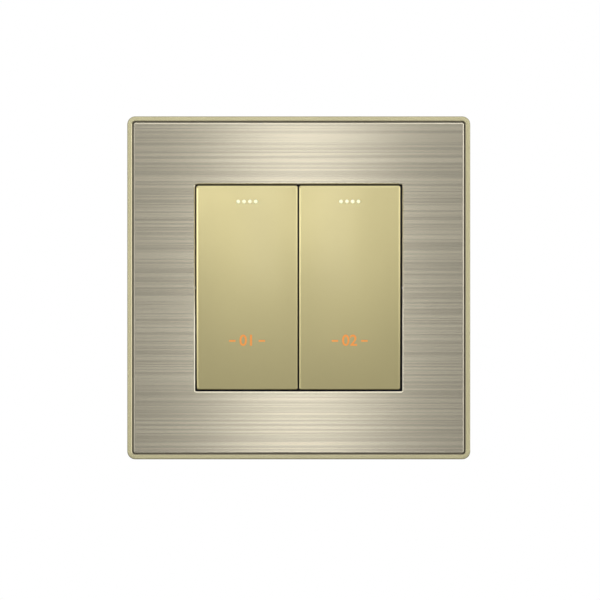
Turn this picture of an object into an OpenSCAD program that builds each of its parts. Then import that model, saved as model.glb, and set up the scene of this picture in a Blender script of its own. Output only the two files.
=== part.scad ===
// Two-gang rocker wall switch on a square wall plate.
// X points right, Z up, and the front faces -Y. The wall plane is y = 0 and the origin is the
// plate's centre on it. Rockers are drawn at rest, with their lower ends pressed in.

/* [Wall plate] */
// Width and height of the square plate
plate_size = 86; // [84:0.5:92]
// How far the rim stands in front of the wall
plate_depth = 10; // [9.8:0.1:12]
// Corner radius of the plate
plate_corner_r = 2; // [1.8:0.1:3]
// Width of the rim seen from the front
rim_w = 1.2; // [1:0.05:1.3]
// Round-over of the rim's outer edge
rim_round = 0.3; // [0.2:0.05:0.6]
// Bevel on the rim's inner edge
rim_bevel = 0.15; // [0.05:0.05:0.25]
// Groove between the rim and the metal face
groove_w = 0.4; // [0.3:0.05:0.5]
// Thickness of the plate's plastic walls and deck
frame_wall = 1.6; // [1.4:0.1:1.8]
// Thickness of the collar round the plate's window
collar_t = 1.4; // [1:0.1:1.6]
// Depth of the collar behind the deck
collar_d = 1.5; // [1:0.1:1.7]
// Width of the notch for prising the plate off
notch_w = 10; // [6:1:16]
// Depth of that notch from the wall
notch_d = 1.2; // [0.8:0.1:1.6]

/* [Metal face] */
// Thickness of the metal face
face_t = 0.8; // [0.6:0.05:1]
// How far the metal face lies behind the rim
face_sink = 0.1; // [0:0.05:0.3]
// Bevel round the edges of the metal face
face_bevel = 0.2; // [0.1:0.05:0.3]
// Thickness of the adhesive sheet behind the metal face
adhesive_t = 0.2; // [0.1:0.05:0.3]
// Margin of the adhesive sheet inside the metal face's edges
adhesive_inset = 0.6; // [0.4:0.1:1.5]
// Width and height of the window in the metal face
window_size = 52; // [51:0.1:53]
// Corner radius of that window
window_corner_r = 0.4; // [0.35:0.05:0.6]
// How far the plastic window stands back from the metal one
window_lap = 0.2; // [0:0.05:0.4]

/* [Rockers] */
// Gap between a rocker and the window's side
side_gap = 0.5; // [0.4:0.05:0.8]
// Gap between the two rockers
centre_gap = 0.4; // [0.3:0.05:0.8]
// Gap above and below a rocker that is level
end_gap = 0.45; // [0.4:0.05:0.8]
// How far a level rocker's middle stands in front of the metal face
rocker_proud = 1.4; // [1:0.1:1.8]
// Radius of the crown from top to bottom
crown_r = 600; // [400:10:900]
// Thickness of the rocker's skin and skirts
rocker_skin = 1.5; // [1.2:0.1:1.6]
// Depth of the skirts from the crown
skirt_d = 4.4; // [4:0.1:4.6]
// Bevel round the rocker's front edges
rocker_bevel = 0.3; // [0.2:0.05:0.5]
// Tilt to each side of level, in degrees
rocker_throw = 3; // [2.5:0.1:3.2]

/* [Indicator dots] */
// Number of dots on a rocker
dot_count = 4; // [2:1:6]
// Radius of a dot
dot_r = 0.5; // [0.3:0.05:0.6]
// Distance between dots
dot_pitch = 1.45; // [1.4:0.05:2]
// Distance of the dots below the rocker's top edge
dot_drop = 3.95; // [3.6:0.05:5]
// Thickness of the strip that carries the dots
dot_strip_t = 1; // [0.6:0.1:1.4]

/* [Pivot] */
// Depth of the pivot behind the crown
pivot_depth = 4.3; // [4.2:0.05:4.5]
// Radius of the pivot pins
pin_r = 1.25; // [1:0.05:1.3]
// Running clearance of a pin in its bore
pin_clear = 0.05; // [0.02:0.01:0.1]
// Wall of the ear round its bore
ear_wall = 1; // [0.8:0.05:1.1]
// Thickness of an ear
ear_t = 2.4; // [2:0.1:2.6]
// Distance from a gang's middle to an ear's inner side
ear_x = 8; // [7.6:0.1:8.4]
// Height of the cradle's plate, which clips between the rocker's ribs
cradle_h = 18; // [16:0.5:22]
// Radius of the cradle's hollow stem
stem_r = 3.3; // [3:0.05:3.5]
// Radius of the stem's bore
stem_bore_r = 2.1; // [2:0.05:2.2]

/* [Spring and plunger] */
// Diameter of the spring's wire
wire_d = 0.5; // [0.4:0.05:0.6]
// Number of turns of the spring
spring_turns = 5; // [4:1:6]
// Clearance round the spring and the plunger in the bore
plunger_clear = 0.1; // [0.05:0.01:0.15]
// Length of the plunger's guided shank
shank_len = 3; // [2.5:0.1:3.4]
// Radius of the plunger's nose
nose_r = 1.25; // [1:0.05:1.5]
// Gap between the nose and the contact strip when the rocker is level
nose_gap = 0.1; // [0.06:0.01:0.2]

/* [Contacts] */
// Distance from the rocker's pivot to the fulcrum
fulcrum_reach = 13.7; // [13.4:0.1:14.2]
// Turn of the contact strip for each degree of the rocker
seesaw_ratio = 2; // [1.6:0.1:2.2]
// Thickness of the moving contact strip
strip_t = 1.2; // [1:0.05:1.4]
// Width of the moving contact strip
strip_w = 4.8; // [4.4:0.1:5.2]
// Distance from the fulcrum to a contact
contact_reach = 8.5; // [8:0.1:9]
// Radius of a contact's head
contact_r = 1.5; // [1.2:0.05:1.7]
// Height of a contact's head
contact_h = 0.8; // [0.6:0.05:1]
// Radius of a contact's domed face
contact_dome_r = 4; // [3:0.1:6]
// Gap left at the closed contact
contact_gap = 0.06; // [0.04:0.01:0.1]
// Radius of the fulcrum's rounded edge
fulcrum_r = 0.6; // [0.5:0.05:0.7]

/* [Terminals] */
// Thickness of the fixed brass strips
bus_t = 1; // [0.8:0.05:1.2]
// Width of the fixed brass strips
bus_w = 4.4; // [3.6:0.1:4.6]
// Width of a terminal pillar
pillar_w = 7; // [6:0.1:7.2]
// Height of a terminal pillar
pillar_h = 8.4; // [7.6:0.1:8.8]
// Radius of the hole for a wire
wire_hole_r = 1.7; // [1.3:0.05:1.9]
// Brass beside and below the wire's hole
wire_wall = 1.6; // [1.2:0.1:1.8]
// Radius of a terminal screw
grub_r = 1.45; // [1.2:0.05:1.5]

/* [Modules] */
// Width of a switch module behind the yoke
module_w = 22.8; // [22:0.1:23.2]
// Height of a switch module behind the yoke
module_h = 45.4; // [44:0.1:47]
// Depth of a module's base from the yoke's front
module_depth = 22.5; // [21.5:0.5:26]
// Wall of a module's base
module_wall = 1.6; // [1.4:0.1:1.8]
// Floor of a module's base
module_floor = 2; // [1.6:0.1:2.4]
// Thickness of a module's cover
cover_t = 1.8; // [1.6:0.1:1.9]
// Height of a module's cover
cover_h = 50.6; // [50:0.1:51]
// Distance that covers stay apart from each other
cover_gap = 0.8; // [0.4:0.1:1.2]

/* [Yoke and box screws] */
// Distance from the plate's left and right sides to the steel yoke
yoke_side = 5; // [4:0.5:6]
// Distance from the plate's upper and lower sides to the steel yoke
yoke_end = 7; // [4:0.5:9]
// Thickness of the yoke's sheet
yoke_t = 1.2; // [1:0.05:1.4]
// Distance of the yoke's sheet from the wall
yoke_stand = 1.8; // [1.6:0.1:2]
// Distance between the two box screws
box_pitch = 60.3; // [60:0.1:60.6]
// Length of the slots for the box screws
slot_len = 8; // [7:0.5:9]
// Width of those slots
slot_w = 4.4; // [4.2:0.1:4.8]
// Thread radius of a box screw
screw_r = 2; // [1.75:0.25:2]
// Length of a box screw under its head
screw_len = 25; // [20:1:40]
// Radius of a box screw's head
screw_head_r = 3.8; // [3.4:0.1:3.9]
// Height of a box screw's head
screw_head_h = 2.2; // [1.8:0.1:2.4]

/* [Plate clips] */
// Distance of the clips from the yoke's left and right sides
clip_edge = 5; // [3.5:0.5:6]
// Distance of the clips from the plate's middle, up and down
clip_z = 26; // [20:1:30]
// Width of a clip
clip_w = 6; // [4:0.5:8]
// Thickness of a clip
clip_t = 1.2; // [1:0.1:1.4]
// How far a clip's nose stands out
clip_nose = 0.5; // [0.3:0.1:0.6]

/* [Hidden] */
$fn = 48;
eps = 0.01;
// Facets of the crown's large circle
CROWN_FN = 1440;
// Clearance between pieces that are fitted together, between moving ones, and at a glued seat
fit = 0.1;
free = 0.3;
snug = 0.02;

// Depths, from the wall: negative is in front of it
rim_y = -plate_depth;
face_y = rim_y + face_sink;
face_back = face_y + face_t;
deck_y = face_back + adhesive_t;
deck_back = deck_y + frame_wall;
crown_y = face_y - rocker_proud;
roof_y = crown_y + rocker_skin;
skirt_y = crown_y + skirt_d;
pivot_y = crown_y + pivot_depth;
yoke_back = -yoke_stand;
yoke_front = yoke_back - yoke_t;
cover_front = yoke_front - cover_t;
base_back = yoke_front + module_depth;
floor_y = base_back - module_floor;

// The plate and its metal face
pocket_size = plate_size - 2 * rim_w;
pocket_r = plate_corner_r - rim_w;
face_size = pocket_size - 2 * groove_w;
face_corner_r = max(pocket_r - groove_w, face_bevel + eps);
deck_window = window_size + 2 * window_lap;
deck_window_r = window_corner_r + window_lap;

// How far the crown falls back at height z
function fall(z) = crown_r - sqrt(pow(crown_r, 2) - pow(z, 2));

// The rockers, each about its own gang's middle
SIDES = [-1, 1];
SIDE_NAMES = ["left", "right"];
rocker_w = (window_size - 2 * side_gap - centre_gap) / 2;
rocker_h = window_size - 2 * end_gap;
gang_x = (rocker_w + centre_gap) / 2;
dot_z = rocker_h / 2 - dot_drop;
dot_margin = 1;
dot_strip_w = dot_count * dot_pitch + 2 * dot_margin;
dot_strip_h = 2 * (dot_r + dot_margin);
cradle_w = 2 * (ear_x - free);
cradle_plate_t = 2.2;
// Half the height of the block round the pivot pins
block_z = pin_r + 0.8;
bead_r = 0.4;
// Beads and ribs end short of the cradle's sides
bead_inset = 1.5;
rib_inset = 1;
rib_t = 1.5;
rib_over = 0.6;

// The ears on a module's cover, which carry the pivot pins
ear_bore_r = pin_r + pin_clear;
ear_r = ear_bore_r + ear_wall;
throat_w = 1.5 * pin_r;
// Room for the stem to swing in its hole in the cover
stem_swing = 1.3;
stem_hole_r = stem_r + stem_swing;
cover_w = rocker_w + centre_gap - cover_gap;
stop_z = cover_h / 2 - 0.3;
stop_h = 1.4;
stop_w = 8;

// The contact strip, the plunger and the spring, on the level rocker's axis
fulcrum_y = pivot_y + fulcrum_reach;
seesaw_throw = rocker_throw * seesaw_ratio;
strip_y = fulcrum_y - strip_t;
nose_y = strip_y - nose_gap;
stem_len = 8;
stem_end = pivot_y + stem_len;
bore_cap = 2;
bore_end = roof_y + bore_cap;
// Length of the shank that stays inside the stem
shank_held = 1.7;
shank_y = stem_end - shank_held;
spigot_len = 1.5;
spring_r = stem_bore_r - free - wire_d / 2;
spring_start = bore_end + wire_d / 2 + eps;
spring_end = shank_y - wire_d / 2 - eps;
spigot_r = spring_r - wire_d / 2 - plunger_clear;

// The fixed contacts: their domes meet the tilted moving ones
dome_lift = contact_h - contact_dome_r;
moving_dome_y = fulcrum_y + dome_lift * cos(seesaw_throw) + contact_reach * sin(seesaw_throw);
moving_dome_z = contact_reach * cos(seesaw_throw) - dome_lift * sin(seesaw_throw);
dome_span = 2 * contact_dome_r + contact_gap;
fixed_dome_y = moving_dome_y + sqrt(pow(dome_span, 2) - pow(moving_dome_z - contact_reach, 2));
bus_y = fixed_dome_y - contact_dome_r + contact_h;
bus_back = bus_y + bus_t;

// The terminals: one at the top, two at the bottom
base_in_w = module_w - 2 * module_wall;
base_in_h = module_h - 2 * module_wall;
pillar_out = base_in_h / 2;
pillar_in = pillar_out - pillar_h;
pillar_x = pillar_w / 2 + 1.1;
wire_z = pillar_in + wire_wall + wire_hole_r;
wire_hole_end = bus_back + 0.6;
grub_y = (bus_back + floor_y) / 2;
grub_tip = wire_z + wire_hole_r + 0.2;
grub_clear = 0.05;
pocket_wall = 1;
fulcrum_w = strip_w - 0.4;
cheek_t = 0.8;

// The tongues that hold a cover in its base
tongue_w = 5;
tongue_t = 1;
tongue_len = 6;
tongue_end = yoke_front + tongue_len;
tongue_nose = 0.7;
tongue_nose_h = 1.4;

// The yoke, inside the plate, and the clips that hold the plate on it
yoke_w = plate_size - 2 * yoke_side;
yoke_h = plate_size - 2 * yoke_end;
yoke_corner_r = 3;
clip_x = yoke_w / 2 - clip_edge;
// Room round a box screw's head, and its place from a gang's middle
head_room = 0.5;
head_x = box_pitch / 2 - gang_x;

GANG_NODES = ["rocker_button", "dot_insert", "cradle", "plunger_spring", "plunger", "seesaw",
  "moving_contacts", "fixed_contacts", "common_terminal", "upper_terminal", "lower_terminal",
  "terminal_screws", "module_cover", "module_base"];

// Shapes that repeat

module rounded_rect(w, h, r) {
  square([w - 2 * r, h], center = true);
  square([w, h - 2 * r], center = true);
  for (x = [-1, 1], z = [-1, 1])
    translate([x * (w / 2 - r), z * (h / 2 - r)]) circle(r);
}

// A flat shape drawn in the wall's plane, made solid from depth front to depth back
module slab(front, back) {
  translate([0, back, 0]) rotate([90, 0, 0]) linear_extrude(back - front) children();
}

// A box from two corners
module box(low, high) {
  translate(low) cube(high - low);
}

// A rod along X, Y or Z
module rod_x(r, x0, x1) {
  translate([x0, 0, 0]) rotate([0, 90, 0]) cylinder(r = r, h = x1 - x0);
}

module rod_y(r, y0, y1, r_end = undef) {
  translate([0, y0, 0]) rotate([-90, 0, 0])
    cylinder(r1 = r, r2 = is_undef(r_end) ? r : r_end, h = y1 - y0);
}

module rod_z(r, z0, z1) {
  translate([0, 0, z0]) cylinder(r = r, h = z1 - z0);
}

// Sweeps a profile round a rounded rectangle in the wall's plane. The profile's x points out of the
// outline and its y points forward.
module sweep_outline(w, h, r) {
  for (side = [0 : 3]) {
    run = (side % 2 == 0 ? h : w) - 2 * r;
    reach = (side % 2 == 0 ? w : h) / 2;
    rotate([0, -90 * side, 0]) {
      translate([reach, 0, -run / 2]) linear_extrude(run) mirror([0, 1]) children();
      translate([reach - r, 0, run / 2]) rotate([90, 0, 0])
        rotate_extrude(angle = 90) translate([r, 0]) children();
    }
  }
}

// The cut that bevels an outline's front edge: inside is -1 for an outer edge and 1 for a window's
module bevel_cut(size, inside) {
  polygon([[-inside * size / 2, size], [-inside * size / 2, -size / 2], [0, -size],
    [inside * size, 0], [inside * size, size]]);
}

// The cut that rounds an outer front edge
module round_cut(r) {
  difference() {
    translate([-r, -r]) square(r + 1);
    translate([-r, -r]) circle(r);
  }
}

// Everything behind a surface that lies parallel to the level rocker's crown, depth behind it
module behind_crown(depth) {
  translate([0, crown_y + crown_r, 0]) rotate([0, 90, 0])
    cylinder(r = crown_r - depth, h = 2 * rocker_w, center = true, $fn = CROWN_FN);
}

// Pieces of a rocker, turned about the pivot to the rest pose
module rocked() {
  translate([0, pivot_y, 0]) rotate([rocker_throw, 0, 0]) translate([0, -pivot_y, 0]) children();
}

// Pieces of the contact strip, turned about the fulcrum to the rest pose
module seesawed() {
  translate([0, fulcrum_y, 0]) rotate([-seesaw_throw, 0, 0]) translate([0, -fulcrum_y, 0]) children();
}

// A contact's head with its foot at depth y, domed towards -1 (the front) or 1 (the back)
module contact_head(y, way) {
  translate([0, y, 0]) intersection() {
    if (way < 0) rod_y(contact_r, -contact_h, 0);
    else rod_y(contact_r, 0, contact_h);
    translate([0, way * dome_lift, 0]) sphere(contact_dome_r);
  }
}

// Pieces of the whole switch

module plate_clip() {
  nose_front = yoke_back + free;
  nose_back = -free;
  color("#b9ae84") {
    box([-clip_t / 2, deck_back - eps, -clip_w / 2], [clip_t / 2, nose_back, clip_w / 2]);
    translate([0, 0, -clip_w / 2]) linear_extrude(clip_w)
      polygon([[clip_t / 2 - eps, nose_front], [clip_t / 2 + clip_nose, nose_front],
        [clip_t / 2 + clip_nose, nose_front + 0.3], [clip_t / 2 - eps, nose_back]]);
  }
}

module front_frame() {
  inner = plate_size - 2 * frame_wall;
  color("#bdb489") {
    difference() {
      slab(rim_y, 0) rounded_rect(plate_size, plate_size, plate_corner_r);
      slab(rim_y - 1, deck_y) rounded_rect(pocket_size, pocket_size, pocket_r);
      slab(deck_back, 1) rounded_rect(inner, inner, plate_corner_r / 2);
      slab(rim_y, 1) rounded_rect(deck_window, deck_window, deck_window_r);
      translate([0, rim_y, 0]) sweep_outline(plate_size, plate_size, plate_corner_r) round_cut(rim_round);
      translate([0, rim_y, 0]) sweep_outline(pocket_size, pocket_size, pocket_r) bevel_cut(rim_bevel, 1);
      box([-notch_w / 2, -notch_d, -plate_size], [notch_w / 2, 1, -inner / 2 + 1]);
    }
    slab(deck_back - eps, deck_back + collar_d) difference() {
      rounded_rect(deck_window + 2 * collar_t, deck_window + 2 * collar_t, deck_window_r + collar_t);
      rounded_rect(deck_window, deck_window, deck_window_r);
    }
    for (x = SIDES, z = [-1, 1])
      translate([0, 0, z * clip_z]) mirror([x < 0 ? 1 : 0, 0, 0]) translate([clip_x, 0, 0]) plate_clip();
  }
}

module face_plate() {
  color("#c8c0aa") difference() {
    slab(face_y, face_back) difference() {
      rounded_rect(face_size, face_size, face_corner_r);
      rounded_rect(window_size, window_size, window_corner_r);
    }
    translate([0, face_y, 0]) sweep_outline(face_size, face_size, face_corner_r) bevel_cut(face_bevel, -1);
    translate([0, face_y, 0]) sweep_outline(window_size, window_size, window_corner_r)
      bevel_cut(face_bevel, 1);
  }
}

module plate_adhesive() {
  outer = face_size - 2 * adhesive_inset;
  inner = deck_window + 2 * adhesive_inset;
  color("#2a2825") slab(face_back, deck_y) difference() {
    square(outer, center = true);
    square(inner, center = true);
  }
}

module mounting_yoke() {
  clip_hole_w = clip_t + clip_nose + 2 * free;
  clip_hole_x = clip_x + clip_nose / 2;
  color("#2c2c2e") {
    slab(yoke_front, yoke_back) difference() {
      rounded_rect(yoke_w, yoke_h, yoke_corner_r);
      for (side = SIDES) {
        translate([side * gang_x, 0]) square([module_w + 4 * fit, module_h + 4 * fit], center = true);
        translate([side * box_pitch / 2, 0]) {
          square([slot_len - slot_w, slot_w], center = true);
          for (end = [-1, 1]) translate([end * (slot_len - slot_w) / 2, 0]) circle(slot_w / 2);
        }
        for (z = [-1, 1]) translate([side * clip_hole_x, z * clip_z])
          square([clip_hole_w, clip_w + 2 * free], center = true);
      }
    }
    slab(yoke_back - eps, 0) difference() {
      rounded_rect(yoke_w, yoke_h, yoke_corner_r);
      rounded_rect(yoke_w - 2 * yoke_t, yoke_h - 2 * yoke_t, yoke_corner_r - yoke_t);
    }
  }
}

// A cross recess in a screw's head that faces the front
module cross_recess(size, depth) {
  for (turn = [0, 90]) rotate([0, turn, 0])
    box([-size, -1, -size / 4], [size, depth, size / 4]);
}

module box_screw() {
  neck_r = screw_r - 0.25;
  neck_end = free;
  tip = yoke_front + screw_len;
  point = 0.8;
  head_y = yoke_front - screw_head_h;
  head_slope = 0.6;
  recess_w = 2;
  recess_d = 1.3;
  difference() {
    union() {
      rod_y(screw_head_r - head_slope, head_y, head_y + head_slope, screw_head_r);
      rod_y(screw_head_r, head_y + head_slope - eps, yoke_front);
      rod_y(neck_r, yoke_front - eps, neck_end + eps);
      rod_y(screw_r, neck_end, tip - point);
      rod_y(screw_r, tip - point - eps, tip, screw_r - point);
    }
    translate([0, head_y, 0]) cross_recess(recess_w, recess_d);
  }
}

module mounting_screws() {
  color("#cfcfca") for (side = SIDES) translate([side * box_pitch / 2, 0, 0]) box_screw();
}

// Pieces of one gang, about the gang's own middle

module rocker_button() {
  half_turn = asin(rocker_h / 2 / crown_r) + 0.2;
  color("#cdc38f") rocked() {
    difference() {
      intersection() {
        translate([0, crown_y + crown_r, 0]) rotate([0, 90, 0]) rotate([0, 0, 270 - half_turn])
          rotate_extrude(angle = 2 * half_turn, $fn = CROWN_FN)
          polygon([[crown_r - 2 * skirt_d, -rocker_w / 2], [crown_r - rocker_bevel, -rocker_w / 2],
            [crown_r, -rocker_w / 2 + rocker_bevel], [crown_r, rocker_w / 2 - rocker_bevel],
            [crown_r - rocker_bevel, rocker_w / 2], [crown_r - 2 * skirt_d, rocker_w / 2]]);
        box([-rocker_w, crown_y - 1, -rocker_h / 2], [rocker_w, skirt_y, rocker_h / 2]);
      }
      intersection() {
        box([-rocker_w / 2 + rocker_skin, crown_y - 1, -rocker_h / 2 + rocker_skin],
          [rocker_w / 2 - rocker_skin, skirt_y + 1, rocker_h / 2 - rocker_skin]);
        behind_crown(rocker_skin);
      }
      for (end = [-1, 1]) end_bevel(end);
      dot_row() rod_y(dot_r, crown_y - 1, roof_y + 1);
    }
    for (end = [-1, 1]) clip_rib(end);
  }
}

// The cut that bevels the rocker's upper or lower front edge
module end_bevel(end) {
  translate([0, crown_y + fall(rocker_h / 2), end * rocker_h / 2]) rotate([45, 0, 0])
    cube([2 * rocker_w, rocker_bevel * sqrt(2), rocker_bevel * sqrt(2)], center = true);
}

// A rib under the rocker's skin, with a groove that the cradle's bead snaps into
module clip_rib(end) {
  low = cradle_h / 2 + fit;
  rib_w = cradle_w - 2 * rib_inset;
  mirror([0, 0, end < 0 ? 1 : 0]) difference() {
    box([-rib_w / 2, roof_y - rocker_skin / 2, low],
      [rib_w / 2, roof_y + cradle_plate_t + rib_over, low + rib_t]);
    translate([0, roof_y + cradle_plate_t / 2, cradle_h / 2]) rod_x(bead_r + fit, -rib_w, rib_w);
  }
}

module dot_row() {
  for (i = [0 : dot_count - 1])
    translate([(i - (dot_count - 1) / 2) * dot_pitch, 0, dot_z]) children();
}

module dot_insert() {
  strip_front = roof_y + fall(dot_z + dot_strip_h / 2) + snug;
  color("#fffbe0") rocked() {
    dot_row() rod_y(dot_r - snug, crown_y + fall(dot_z + dot_r), strip_front + eps);
    box([-dot_strip_w / 2, strip_front, dot_z - dot_strip_h / 2],
      [dot_strip_w / 2, strip_front + dot_strip_t, dot_z + dot_strip_h / 2]);
  }
}

module cradle() {
  plate_front = roof_y + fall(cradle_h / 2) + snug;
  block_back = cover_front - 0.6;
  color("#3a3a3c") rocked() difference() {
    union() {
      box([-cradle_w / 2, plate_front, -cradle_h / 2],
        [cradle_w / 2, roof_y + cradle_plate_t, cradle_h / 2]);
      box([-cradle_w / 2, plate_front, -block_z], [cradle_w / 2, block_back, block_z]);
      for (end = [-1, 1]) translate([0, roof_y + cradle_plate_t / 2, end * cradle_h / 2])
        rod_x(bead_r, -cradle_w / 2 + bead_inset, cradle_w / 2 - bead_inset);
      translate([0, pivot_y, 0]) rod_x(pin_r, -ear_x - ear_t, ear_x + ear_t);
      rod_y(stem_r, roof_y + 1, stem_end);
    }
    rod_y(stem_bore_r, bore_end, stem_end + 1);
  }
}

// One unbroken tube along a helix about +Y, from depth start to depth end
module plunger_spring() {
  rings_per_turn = 8;
  tube_sides = 6;
  last = spring_turns * rings_per_turn;
  pitch = (spring_end - spring_start) / spring_turns;
  slope = atan2(pitch, 2 * PI * spring_r);
  function ring(i) = let (turn = 360 * i / rings_per_turn, y = spring_start + pitch * i / rings_per_turn)
    [for (k = [0 : tube_sides - 1]) let (
      around = 360 * k / tube_sides,
      out = wire_d / 2 * cos(around),
      up = wire_d / 2 * sin(around))
      [(spring_r + out) * cos(turn) + up * sin(slope) * sin(turn), y + up * cos(slope),
        (spring_r + out) * sin(turn) - up * sin(slope) * cos(turn)]];
  function at(i, k) = i * tube_sides + k % tube_sides;
  points = [for (i = [0 : last]) each ring(i)];
  walls = [for (i = [0 : last - 1], k = [0 : tube_sides - 1])
    each [[at(i, k), at(i, k + 1), at(i + 1, k)], [at(i, k + 1), at(i + 1, k + 1), at(i + 1, k)]]];
  caps = [for (k = [1 : tube_sides - 2])
    each [[at(0, 0), at(0, k + 1), at(0, k)], [at(last, 0), at(last, k), at(last, k + 1)]]];
  echo(spring_least_gap = pitch * cos(slope) - wire_d);
  color("#c4c6c8") rocked() polyhedron(points, concat(walls, caps));
}

module plunger() {
  shank_end = shank_y + shank_len;
  shank_r = stem_bore_r - plunger_clear;
  color("#e9e4d6") rocked() {
    rod_y(spigot_r, shank_y - spigot_len, shank_y + eps);
    rod_y(shank_r, shank_y, shank_end);
    rod_y(shank_r, shank_end - eps, shank_end + shank_r - nose_r, nose_r);
    rod_y(nose_r, shank_end, nose_y - nose_r);
    translate([0, nose_y - nose_r, 0]) sphere(nose_r);
  }
}

module seesaw() {
  end = contact_reach + contact_r + 0.5;
  cheek_x = fulcrum_w / 2 + free;
  cheek_z = 2;
  cheek_d = 1.3;
  color("#c98f55") seesawed() difference() {
    union() {
      box([-strip_w / 2, strip_y, -end], [strip_w / 2, fulcrum_y, end]);
      box([-cheek_x - cheek_t, strip_y, -cheek_z], [cheek_x + cheek_t, fulcrum_y, cheek_z]);
      for (side = SIDES) mirror([side < 0 ? 1 : 0, 0, 0])
        box([cheek_x, strip_y, -cheek_z], [cheek_x + cheek_t, fulcrum_y + cheek_d, cheek_z]);
    }
    translate([0, fulcrum_y, 0]) rod_x(fulcrum_r + 0.06, -cheek_x, cheek_x);
  }
}

module moving_contacts() {
  color("#e4e4e0") seesawed() for (end = [-1, 1])
    translate([0, 0, end * contact_reach]) contact_head(fulcrum_y, 1);
}

module fixed_contacts() {
  color("#e4e4e0") for (end = [-1, 1])
    translate([0, 0, end * contact_reach]) contact_head(bus_y, -1);
}

// A brass pillar at the module's upper (1) or lower (-1) end, with its wire hole and screw hole
module pillar(x, end) {
  translate([x, 0, 0]) mirror([0, 0, end < 0 ? 1 : 0]) difference() {
    box([-pillar_w / 2, bus_back - eps, pillar_in], [pillar_w / 2, floor_y, pillar_out - fit]);
    translate([0, 0, wire_z]) rod_y(wire_hole_r, wire_hole_end, floor_y + 1);
    translate([0, grub_y, 0]) rod_z(grub_r + grub_clear, wire_z, pillar_out + 1);
  }
}

module upper_terminal() {
  color("#c9a24d") {
    pillar(0, 1);
    box([-bus_w / 2, bus_y, contact_reach - bus_w / 2], [bus_w / 2, bus_back, pillar_out - fit]);
  }
}

module lower_terminal() {
  color("#c9a24d") {
    pillar(-pillar_x, -1);
    box([-pillar_x - bus_w / 2, bus_y, -contact_reach - bus_w / 2],
      [bus_w / 2, bus_back, -contact_reach + bus_w / 2]);
    box([-pillar_x - bus_w / 2, bus_y, -pillar_out + fit],
      [-pillar_x + bus_w / 2, bus_back, -contact_reach + bus_w / 2]);
  }
}

module common_terminal() {
  leg_out = pillar_x + pillar_w / 2;
  leg_w = 3;
  leg_in = leg_out - leg_w;
  color("#c9a24d") {
    pillar(pillar_x, -1);
    box([leg_in, bus_y, -pillar_out + fit], [leg_out, bus_back, bus_w / 2]);
    box([-bus_w / 2, bus_y, -bus_w / 2], [leg_out, bus_back, bus_w / 2]);
    box([-fulcrum_w / 2, fulcrum_y, -fulcrum_r], [fulcrum_w / 2, bus_y + eps, fulcrum_r]);
    translate([0, fulcrum_y, 0]) rod_x(fulcrum_r, -fulcrum_w / 2, fulcrum_w / 2);
  }
}

module grub_screw(x, end) {
  head = module_h / 2 - 0.4;
  translate([x, grub_y, 0]) mirror([0, 0, end < 0 ? 1 : 0]) difference() {
    rod_z(grub_r, grub_tip, head);
    box([-grub_r - 1, -0.3, head - 0.8], [grub_r + 1, 0.3, head + 1]);
  }
}

module terminal_screws() {
  color("#d2d2cc") {
    grub_screw(0, 1);
    grub_screw(-pillar_x, -1);
    grub_screw(pillar_x, -1);
  }
}

// An open ear that a pivot pin snaps into from the front
module ear() {
  difference() {
    union() {
      translate([0, pivot_y, 0]) rod_x(ear_r, ear_x, ear_x + ear_t);
      box([ear_x, pivot_y, -ear_r], [ear_x + ear_t, cover_front + eps, ear_r]);
    }
    translate([0, pivot_y, 0]) rod_x(ear_bore_r, ear_x - 1, ear_x + ear_t + 1);
    box([ear_x - 1, pivot_y - 2 * ear_r, -throat_w / 2], [ear_x + ear_t + 1, pivot_y, throat_w / 2]);
  }
}

// A tongue that holds a cover in its base
module cover_tongue() {
  out = base_in_w / 2 - fit;
  box([out - tongue_t, yoke_front - eps, -tongue_w / 2], [out, tongue_end, tongue_w / 2]);
  translate([0, 0, -tongue_w / 2]) linear_extrude(tongue_w)
    polygon([[out - eps, tongue_end - tongue_nose_h], [out + tongue_nose, tongue_end - tongue_nose_h],
      [out - eps, tongue_end]]);
}

module module_cover() {
  stop_y = pivot_y + (skirt_y - pivot_y) * cos(rocker_throw) + stop_z * sin(rocker_throw) + fit;
  color("#232326") {
    difference() {
      slab(cover_front, yoke_front) rounded_rect(cover_w, cover_h, 1);
      rod_y(stem_hole_r, cover_front - 1, yoke_front + 1);
      for (side = SIDES) translate([side * head_x, 0, 0])
        rod_y(screw_head_r + head_room, cover_front - 1, yoke_front + 1);
    }
    for (side = SIDES) mirror([side < 0 ? 1 : 0, 0, 0]) {
      ear();
      cover_tongue();
    }
    for (end = [-1, 1]) mirror([0, 0, end < 0 ? 1 : 0])
      box([-stop_w / 2, stop_y, stop_z - stop_h], [stop_w / 2, cover_front + eps, stop_z]);
  }
}

// The walls that locate a terminal pillar
module pillar_pocket(x, end) {
  translate([x, 0, 0]) mirror([0, 0, end < 0 ? 1 : 0])
    box([-pillar_w / 2 - pocket_wall, bus_back + fit, pillar_in - pocket_wall],
      [pillar_w / 2 + pocket_wall, floor_y + eps, pillar_out + eps]);
}

// What a terminal takes out of the base: its pillar, the wire's way in and the way to its screw
module terminal_cuts(x, end) {
  lead_in = 0.8;
  entry_r = wire_hole_r + 0.3;
  translate([x, 0, 0]) mirror([0, 0, end < 0 ? 1 : 0]) {
    box([-pillar_w / 2 - fit, yoke_front, pillar_in - fit], [pillar_w / 2 + fit, floor_y, pillar_out]);
    translate([0, 0, wire_z]) {
      rod_y(entry_r, floor_y - eps, base_back + 1);
      rod_y(entry_r, base_back - lead_in, base_back + eps, entry_r + lead_in);
    }
    translate([0, grub_y, 0]) rod_z(grub_r + 0.5, pillar_out - eps, module_h / 2 + 1);
  }
}

// A block that backs a brass strip against the push of the contacts
module bus_seat(x0, x1, z0, z1) {
  box([x0, bus_back, z0], [x1, floor_y + eps, z1]);
}

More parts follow.
